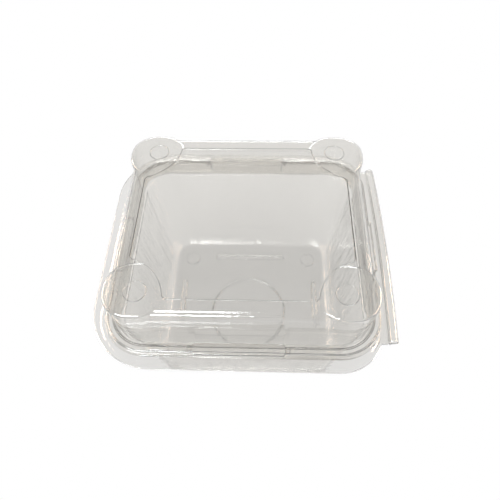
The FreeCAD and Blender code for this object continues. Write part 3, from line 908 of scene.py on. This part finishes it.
def forming_waves():
    """Gives a height for the waves and lines, and a roughness for the haze."""
    group = bpy.data.node_groups.new("forming_waves", "ShaderNodeTree")
    for name, way, value in (
        ("Wave size", "INPUT", 14.0),
        ("Draw lines", "INPUT", 0.5),
        ("Haze", "INPUT", 0.05),
        ("Height", "OUTPUT", 0.0),
        ("Roughness", "OUTPUT", 0.0),
    ):
        socket = group.interface.new_socket(name, in_out=way, socket_type="NodeSocketFloat")
        if way == "INPUT":
            socket.default_value = value
    inside = add_node(group, "NodeGroupInput")
    outside = add_node(group, "NodeGroupOutput")
    place = add_node(group, "ShaderNodeTexCoord")
    waves = add_node(group, "ShaderNodeTexNoise", Detail=2.0, Roughness=0.4)
    tall = add_node(
        group, "ShaderNodeMapping", Scale=(LINES_ACROSS, LINES_ACROSS, LINES_UPRIGHT))
    lines = add_node(group, "ShaderNodeTexNoise", Scale=1.0, Detail=3.0, Roughness=0.5)
    share = add_node(group, "ShaderNodeMath", operation="MULTIPLY")
    total = add_node(group, "ShaderNodeMath", operation="ADD")
    clouds = add_node(group, "ShaderNodeTexNoise", Scale=CLOUD_SCALE, Detail=4.0, Roughness=0.6)
    haze = add_node(group, "ShaderNodeMath", operation="MULTIPLY")
    link = group.links.new
    link(place.outputs["Object"], waves.inputs["Vector"])
    link(inside.outputs["Wave size"], waves.inputs["Scale"])
    link(place.outputs["Object"], tall.inputs["Vector"])
    link(tall.outputs["Vector"], lines.inputs["Vector"])
    link(lines.outputs["Fac"], share.inputs[0])
    link(inside.outputs["Draw lines"], share.inputs[1])
    link(waves.outputs["Fac"], total.inputs[0])
    link(share.outputs[0], total.inputs[1])
    link(total.outputs[0], outside.inputs["Height"])
    link(place.outputs["Object"], clouds.inputs["Vector"])
    link(clouds.outputs["Fac"], haze.inputs[0])
    link(inside.outputs["Haze"], haze.inputs[1])
    link(haze.outputs[0], outside.inputs["Roughness"])
    return group


waves_group = forming_waves()
print("group sockets:", [item.name for item in waves_group.interface.items_tree])

# %% The plastic itself
CLEAR_GREY = (0.915, 0.905, 0.885)
SHADOW_GREY = (0.7, 0.7, 0.7)


def clear_plastic(name, wave_size, draw_lines, haze, relief):
    """Glass-like plastic that lets a part of the light through to the table."""
    made = bpy.data.materials.new(name)
    made.use_nodes = True
    tree = made.node_tree
    tree.nodes.clear()
    output = add_node(tree, "ShaderNodeOutputMaterial")
    plastic = add_node(tree, "ShaderNodeBsdfPrincipled", IOR=1.5)
    plastic.inputs["Base Color"].default_value = (*CLEAR_GREY, 1)
    plastic.inputs["Transmission Weight"].default_value = 1.0
    surface = add_node(tree, "ShaderNodeGroup", node_tree=waves_group)
    surface.inputs["Wave size"].default_value = wave_size
    surface.inputs["Draw lines"].default_value = draw_lines
    surface.inputs["Haze"].default_value = haze
    bump = add_node(tree, "ShaderNodeBump", Distance=relief)
    through = add_node(tree, "ShaderNodeBsdfTransparent", Color=(*SHADOW_GREY, 1))
    path = add_node(tree, "ShaderNodeLightPath")
    mix = add_node(tree, "ShaderNodeMixShader")
    link = tree.links.new
    link(surface.outputs["Height"], bump.inputs["Height"])
    link(bump.outputs["Normal"], plastic.inputs["Normal"])
    link(surface.outputs["Roughness"], plastic.inputs["Roughness"])
    link(path.outputs["Is Shadow Ray"], mix.inputs["Fac"])
    link(plastic.outputs["BSDF"], mix.inputs[1])
    link(through.outputs["BSDF"], mix.inputs[2])
    link(mix.outputs["Shader"], output.inputs["Surface"])
    return made


tub_plastic = clear_plastic("tub_plastic", wave_size=14.0, draw_lines=0.35, haze=0.08, relief=0.0008)
lid_plastic = clear_plastic("lid_plastic", wave_size=11.0, draw_lines=0.2, haze=0.06, relief=0.0006)
for piece, finish in (
    (tub_sheet, tub_plastic), (lid_sheet, lid_plastic), (hinge_fold, lid_plastic),
    (frame["nodes"]["base_tub"], tub_plastic), (frame["nodes"]["domed_lid"], lid_plastic),
):
    piece.data.materials.clear()
    piece.data.materials.append(finish)
print("materials:", tub_plastic.name, lid_plastic.name)

# %% [markdown]
# ## Table, light and camera
# The pack stands on a plain white table. The camera sees the table as pure white. Through the plastic it
# sees a blend of that white and of the real table, which the pack shades, so that the floor of the tub
# looks darker than its walls. The sky is white behind the plastic but grey where the plastic mirrors it,
# so that the bends stand out. Only rays that have met nothing matt see the whites and the windows. A ray
# that has met the table sees a plain grey sky, and this keeps the shading soft and even.


# %% Rays that have not met a matt surface
HALF_A_BOUNCE = 0.5


def before_matt(tree, path):
    """1 while a ray has met only clear or shiny surfaces, 0 once it has met a matt one."""
    fresh = add_node(tree, "ShaderNodeMath", operation="LESS_THAN")
    fresh.inputs[1].default_value = HALF_A_BOUNCE
    tree.links.new(path.outputs["Diffuse Depth"], fresh.inputs[0])
    return fresh.outputs[0]


def math_node(tree, operation, first, second):
    """A Math node whose two inputs are sockets or numbers."""
    node = add_node(tree, "ShaderNodeMath", operation=operation)
    for socket, value in zip(node.inputs, (first, second)):
        if isinstance(value, float):
            socket.default_value = value
        else:
            tree.links.new(value, socket)
    return node.outputs[0]


print("helpers for rays ready")

# %% A white table
SHADE_SHARE = 0.47
TABLE_RADIUS = 3.0
MATT_WHITE = (0.9, 0.9, 0.9, 1)


def white_stage_material():
    """Matt white that shows as pure white to the camera, and in part through the plastic."""
    made = bpy.data.materials.new("white_table")
    made.use_nodes = True
    tree = made.node_tree
    tree.nodes.clear()
    output = add_node(tree, "ShaderNodeOutputMaterial")
    matt = add_node(tree, "ShaderNodeBsdfDiffuse", Color=MATT_WHITE)
    white = add_node(tree, "ShaderNodeEmission", Strength=1.0)
    path = add_node(tree, "ShaderNodeLightPath")
    through = path.outputs["Is Transmission Ray"]
    mirrored_or_through = math_node(tree, "MAXIMUM", path.outputs["Is Glossy Ray"], through)
    shade = math_node(tree, "MULTIPLY", through, SHADE_SHARE)
    shaded = math_node(tree, "SUBTRACT", mirrored_or_through, shade)
    direct = math_node(tree, "MULTIPLY", shaded, before_matt(tree, path))
    seen = math_node(tree, "MAXIMUM", path.outputs["Is Camera Ray"], direct)
    mix = add_node(tree, "ShaderNodeMixShader")
    link = tree.links.new
    link(seen, mix.inputs["Fac"])
    link(matt.outputs["BSDF"], mix.inputs[1])
    link(white.outputs["Emission"], mix.inputs[2])
    link(mix.outputs["Shader"], output.inputs["Surface"])
    return made


def make_table():
    bm = bmesh.new()
    bmesh.ops.create_circle(bm, cap_ends=True, segments=96, radius=TABLE_RADIUS)
    table = as_object(bm, "table")
    table.data.materials.append(white_stage_material())
    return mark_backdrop(table)


table = make_table()
print("table radius", TABLE_RADIUS, "m")

# %% The sky
SKY_GREY = (0.86, 0.86, 0.86, 1)
PURE_WHITE = (1, 1, 1, 1)


def make_sky():
    """White for the camera and through the plastic, grey for everything else."""
    world = bpy.data.worlds.new("studio")
    bpy.context.scene.world = world
    world.use_nodes = True
    tree = world.node_tree
    tree.nodes.clear()
    output = add_node(tree, "ShaderNodeOutputWorld")
    grey = add_node(tree, "ShaderNodeBackground", Strength=1.0, Color=SKY_GREY)
    white = add_node(tree, "ShaderNodeBackground", Strength=1.0, Color=PURE_WHITE)
    path = add_node(tree, "ShaderNodeLightPath")
    through = path.outputs["Is Transmission Ray"]
    direct = math_node(tree, "MULTIPLY", through, before_matt(tree, path))
    seen = math_node(tree, "MAXIMUM", path.outputs["Is Camera Ray"], direct)
    mix = add_node(tree, "ShaderNodeMixShader")
    link = tree.links.new
    link(seen, mix.inputs["Fac"])
    link(grey.outputs["Background"], mix.inputs[1])
    link(white.outputs["Background"], mix.inputs[2])
    link(mix.outputs["Shader"], output.inputs["Surface"])


make_sky()
print("sky made")

# %% [markdown]
# Four windows stand round the pack, a little above it. They are there for the glints in its bends, which
# show most of the shape that clear plastic has, and they don't light the table. The front and back ones
# are cool. The side ones are peach, because the real pack has warm glints on its left and right.

# %% The windows
COOL = (0.95, 0.98, 1.0)
PEACH = (1.0, 0.78, 0.6)
AIM_POINT = Vector((0, 0, 0.08))


def window(name, place, size, power, colour):
    """A lamp with an area, turned towards the pack."""
    lamp = bpy.data.lights.new(name, "AREA")
    lamp.color = colour
    lamp.shape = "RECTANGLE"
    lamp.size, lamp.size_y = size
    lamp.energy = power
    lamp.use_nodes = True
    tree = lamp.node_tree
    tree.nodes.clear()
    output = add_node(tree, "ShaderNodeOutputLight")
    glow = add_node(tree, "ShaderNodeEmission")
    path = add_node(tree, "ShaderNodeLightPath")
    tree.links.new(before_matt(tree, path), glow.inputs["Strength"])
    tree.links.new(glow.outputs["Emission"], output.inputs["Surface"])
    made = bpy.data.objects.new(name, lamp)
    bpy.context.scene.collection.objects.link(made)
    made.location = place
    made.visible_diffuse = False
    aim = AIM_POINT - Vector(place)
    made.rotation_euler = aim.to_track_quat("-Z", "Y").to_euler()


window("front_window", place=(-0.33, -0.7, 0.38), size=(0.6, 0.42), power=19.0, colour=COOL)
window("left_window", place=(-0.75, 0.05, 0.35), size=(0.8, 0.25), power=6.5, colour=PEACH)
window("right_window", place=(0.75, 0.0, 0.4), size=(0.8, 0.2), power=8.0, colour=PEACH)
window("back_window", place=(0.0, 0.8, 0.45), size=(0.7, 0.2), power=4.5, colour=COOL)
print("windows:", [light.name for light in bpy.data.lights])

# %% [markdown]
# The camera looks down at the pack from the front. Its place and tilt were worked out from the pack's
# straight edges: a lens of 31 mm held about 30 cm from the pack's middle.

# %% The camera
SENSOR = 36.0
PICTURE_PIXELS, FOCAL_PIXELS = 500, 434.57
CAMERA_PLACE = (0.01173, -0.14279, 0.32132)
DEGREES_BELOW_LEVEL = 59.11
TURN_LEFT, ROLL = 0.0623, -0.0409


def make_camera():
    """A camera that looks straight down until it is tilted, turned and rolled."""
    camera = bpy.data.cameras.new("camera")
    camera.sensor_width = SENSOR
    camera.lens = SENSOR * FOCAL_PIXELS / PICTURE_PIXELS
    camera.clip_start = 0.01
    made = bpy.data.objects.new("camera", camera)
    bpy.context.scene.collection.objects.link(made)
    tilt = math.radians(90 - DEGREES_BELOW_LEVEL)
    turns = Matrix.Rotation(TURN_LEFT, 4, "Z") @ Matrix.Rotation(tilt, 4, "X")
    made.matrix_world = Matrix.Translation(CAMERA_PLACE) @ turns @ Matrix.Rotation(ROLL, 4, "Z")
    bpy.context.scene.camera = made
    return made


camera = make_camera()
bpy.context.scene.view_settings.view_transform = "Standard"
print("camera at", [round(value, 3) for value in camera.matrix_world.translation])
